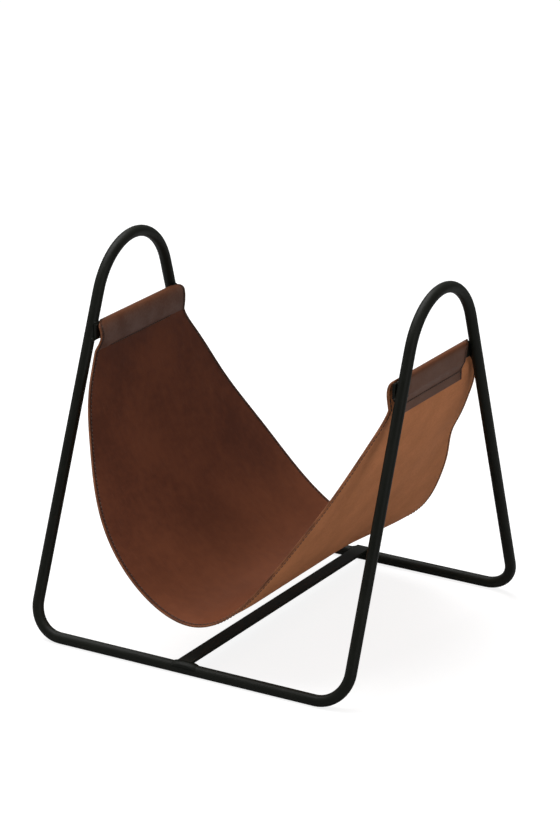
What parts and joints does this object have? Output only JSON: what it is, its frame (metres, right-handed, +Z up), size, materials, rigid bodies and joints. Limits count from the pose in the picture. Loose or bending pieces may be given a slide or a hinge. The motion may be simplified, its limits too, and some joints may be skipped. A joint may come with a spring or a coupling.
{
  "type": "magazine rack",
  "caption": "Free-standing magazine rack: a leather sling folded over flat bars between round-tube arches, on a bent steel-tube base",
  "frame": {"origin": "on the floor, at the middle of the base", "axes": "+X runs along the floor rails to the right, +Y from front to rear, +Z up"},
  "size_m": [0.3784, 0.386, 0.394],
  "materials": {
    "powder_coat": "fine-textured satin black powder coat",
    "bare_steel": "plain drawn steel",
    "sling_leather": "dark brown saddle leather, smooth inside, tan flesh side outside",
    "thread": "waxed dark brown thread"
  },
  "bodies": {
    "root": {"hoop_left": "powder_coat", "hoop_right": "powder_coat", "joint_sleeve_front": "bare_steel", "joint_sleeve_rear": "bare_steel", "floor_bar": "powder_coat", "floor_weld_front": "powder_coat", "floor_weld_rear": "powder_coat", "sling_bar_left": "powder_coat", "sling_bar_right": "powder_coat", "bar_weld_left_front": "powder_coat", "bar_weld_left_rear": "powder_coat", "bar_weld_right_front": "powder_coat", "bar_weld_right_rear": "powder_coat", "sling": "sling_leather", "hem_seam_left": "thread", "hem_seam_right": "thread", "edge_stitch_front": "thread", "edge_stitch_rear": "thread"}
  },
  "joints": []
}
